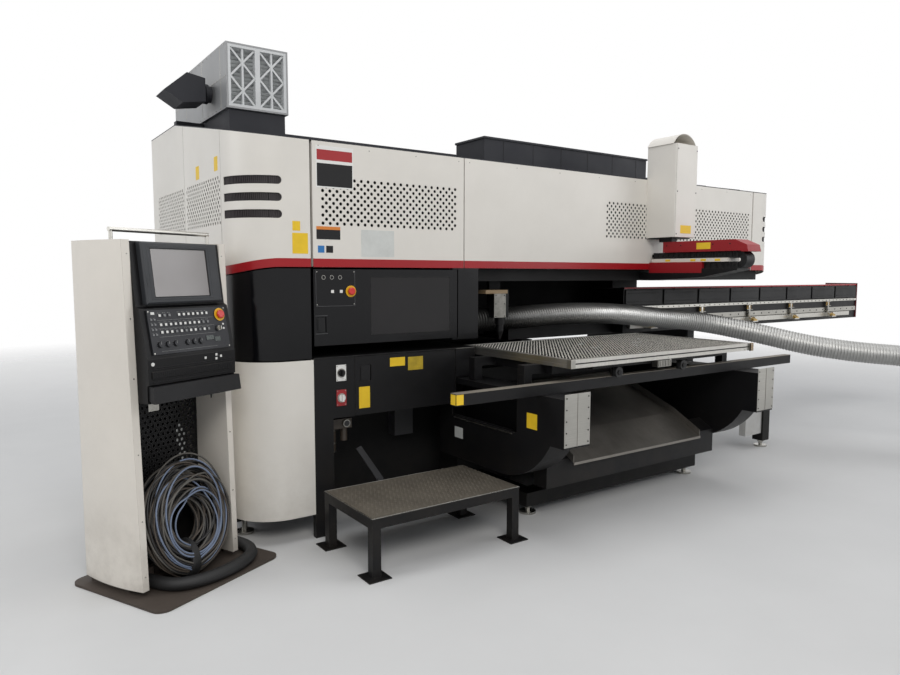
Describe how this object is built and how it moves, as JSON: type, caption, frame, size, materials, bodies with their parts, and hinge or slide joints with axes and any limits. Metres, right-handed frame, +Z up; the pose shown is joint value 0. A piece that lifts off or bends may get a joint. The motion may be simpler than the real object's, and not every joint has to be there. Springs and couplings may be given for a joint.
{
  "type": "laser cutting machine",
  "caption": "Bridge-framed sheet laser cutting machine with a brush table, sheet carriage with clamps, scrap chute, extraction duct, filter unit and a separate operator console.",
  "frame": {"origin": "on the floor, at mid length of the covered body, in the plane of its front covers", "axes": "+X along the front to the right seen by the operator, +Y away from the operator into the machine, +Z up"},
  "size_m": [8.625, 3.808, 2.963],
  "materials": {
    "white_coat": "warm off-white powder coat",
    "red_coat": "dark red gloss coat",
    "black_coat": "black powder coat",
    "dark_frame": "dark grey paint on welded steel",
    "stainless": "brushed stainless sheet",
    "chute_steel": "worn mill-finish sheet",
    "galvanised": "zinc-coated spiral",
    "aluminium": "extruded aluminium",
    "tread_plate": "worn chequer tread on black tube",
    "dark_plastic": "black moulded plastic",
    "console_grey": "dark grey textured plastic",
    "red_button": "red gloss plastic",
    "white_button": "white gloss plastic",
    "rubber": "black rubber",
    "brass_silver": "machined steel with brass jaws",
    "filter_media": "white pleated filter",
    "grey_box": "light grey coat"
  },
  "bodies": {
    "machine": {"air_filter_regulator": "dark_plastic", "band_covers": "black_coat", "base_frame": "dark_frame", "bridge_frame": "dark_frame", "brush_table": "black_coat", "bumper_bar": "black_coat", "cabinet_frame": "black_coat", "cable_coil": "rubber", "chute_wings": "black_coat", "conduit": "rubber", "console_base": "tread_plate", "console_body": "black_coat", "console_handle": "aluminium", "console_key_panel": "console_grey", "console_monitor": "console_grey", "console_side_panels": "white_coat", "corner_cover_left": "white_coat", "corner_cover_right": "white_coat", "energy_chain": "dark_plastic", "exhaust_hood": "dark_frame", "filter_housing": "dark_frame", "filter_panels": "filter_media", "flexible_duct": "galvanised", "front_panel_left": "white_coat", "front_panel_middle": "white_coat", "front_panel_right": "white_coat", "junction_boxes": "grey_box", "left_side_panels": "white_coat", "levelling_feet": "galvanised", "lower_corner_cover": "white_coat", "rear_panels": "white_coat", "red_trim_strips": "red_coat", "roof_covers": "dark_frame", "scrap_chute": "chute_steel", "step_platform": "tread_plate", "table_rim": "aluminium", "tower_column": "white_coat", "tray_arm": "black_coat", "tray_cover": "red_coat", "tray_liner": "white_coat", "wing_plates": "stainless"},
    "front_door": {"front_window_door": "black_coat"},
    "door_latch": {"door_latch": "black_coat"},
    "door_estop": {"door_estop": "red_button"},
    "door_button_left": {"door_button_left": "white_button"},
    "door_button_right": {"door_button_right": "white_button"},
    "cabinet_door": {"cabinet_door": "black_coat"},
    "cabinet_latch": {"cabinet_latch": "black_coat"},
    "disconnect_knob": {"disconnect_knob": "dark_plastic"},
    "lockout_knob": {"lockout_knob": "white_button"},
    "cutting_head": {"cutting_head": "aluminium"},
    "cross_beam": {"carriage_beam": "black_coat"},
    "sheet_carriage": {"sheet_carriage": "black_coat", "clamp_rail": "stainless"},
    "clamp_jaws": {"clamp_jaws": "brass_silver"},
    "console_estop": {"console_estop": "red_button"},
    "console_key_switch": {"console_key_switch": "brass_silver"},
    "console_drawer": {"console_drawer": "black_coat"},
    "table_roller_left": {"table_roller_left": "rubber"},
    "table_roller_right": {"table_roller_right": "rubber"}
  },
  "joints": [
    {"name": "front_door_hinge", "type": "hinge", "parent": "machine", "child": "front_door", "pos_m": [-1.168, 0.014, 1.35], "axis": [0, 0, 1], "range_deg": [0, 100]},
    {"name": "door_latch_pivot", "type": "hinge", "parent": "front_door", "child": "door_latch", "pos_m": [-2.088, 0.009, 1.256], "axis": [0, 0, 1], "range_deg": [0, 28], "stiffness_Nm_per_rad": 0.4},
    {"name": "door_estop_press", "type": "slide", "parent": "front_door", "child": "door_estop", "axis": [0, 1, 0], "range_m": [0, 0.004], "stiffness_N_per_m": 900},
    {"name": "door_button_left_press", "type": "slide", "parent": "front_door", "child": "door_button_left", "axis": [0, 1, 0], "range_m": [0, 0.004], "stiffness_N_per_m": 400},
    {"name": "door_button_right_press", "type": "slide", "parent": "front_door", "child": "door_button_right", "axis": [0, 1, 0], "range_m": [0, 0.004], "stiffness_N_per_m": 400},
    {"name": "cabinet_door_hinge", "type": "hinge", "parent": "machine", "child": "cabinet_door", "pos_m": [-1.182, 0.011, 0.88], "axis": [0, 0, 1], "range_deg": [0, 90]},
    {"name": "cabinet_latch_pivot", "type": "hinge", "parent": "cabinet_door", "child": "cabinet_latch", "pos_m": [-1.798, 0.009, 0.954], "axis": [0, 0, 1], "range_deg": [0, 28], "stiffness_Nm_per_rad": 0.3},
    {"name": "disconnect_turn", "type": "hinge", "parent": "machine", "child": "disconnect_knob", "pos_m": [-1.992, -0.01, 0.968], "axis": [0, 1, 0], "range_deg": [0, 90]},
    {"name": "lockout_turn", "type": "hinge", "parent": "machine", "child": "lockout_knob", "pos_m": [-1.992, -0.01, 0.82], "axis": [0, 1, 0], "range_deg": [0, 90]},
    {"name": "head_height", "type": "slide", "parent": "machine", "child": "cutting_head", "axis": [0, 0, 1], "range_m": [0, 0.06]},
    {"name": "carriage_y", "type": "slide", "parent": "machine", "child": "cross_beam", "axis": [0, 1, 0], "range_m": [0, 0.6]},
    {"name": "carriage_x", "type": "slide", "parent": "cross_beam", "child": "sheet_carriage", "axis": [1, 0, 0], "range_m": [-1.9, 0]},
    {"name": "clamp_close", "type": "hinge", "parent": "sheet_carriage", "child": "clamp_jaws", "pos_m": [3, 0.42, 1.096], "axis": [1, 0, 0], "range_deg": [-20, 0]},
    {"name": "console_estop_press", "type": "slide", "parent": "machine", "child": "console_estop", "axis": [-0.4299, 0.8813, -0.1961], "range_m": [0, 0.004], "stiffness_N_per_m": 900},
    {"name": "console_key_turn", "type": "hinge", "parent": "machine", "child": "console_key_switch", "pos_m": [-2.7283, -0.09432, 1.27082], "axis": [0.4299, -0.8813, 0.1961], "range_deg": [-90, 0]},
    {"name": "console_drawer_slide", "type": "slide", "parent": "machine", "child": "console_drawer", "axis": [0.4384, -0.8988, 0], "range_m": [0, 0.25]},
    {"name": "table_roller_left_spin", "type": "hinge", "parent": "machine", "child": "table_roller_left", "pos_m": [-0.56, -0.85, 0.958], "axis": [0, 1, 0], "continuous": true},
    {"name": "table_roller_right_spin", "type": "hinge", "parent": "machine", "child": "table_roller_right", "pos_m": [0.06, -0.85, 0.958], "axis": [0, 1, 0], "continuous": true}
  ]
}
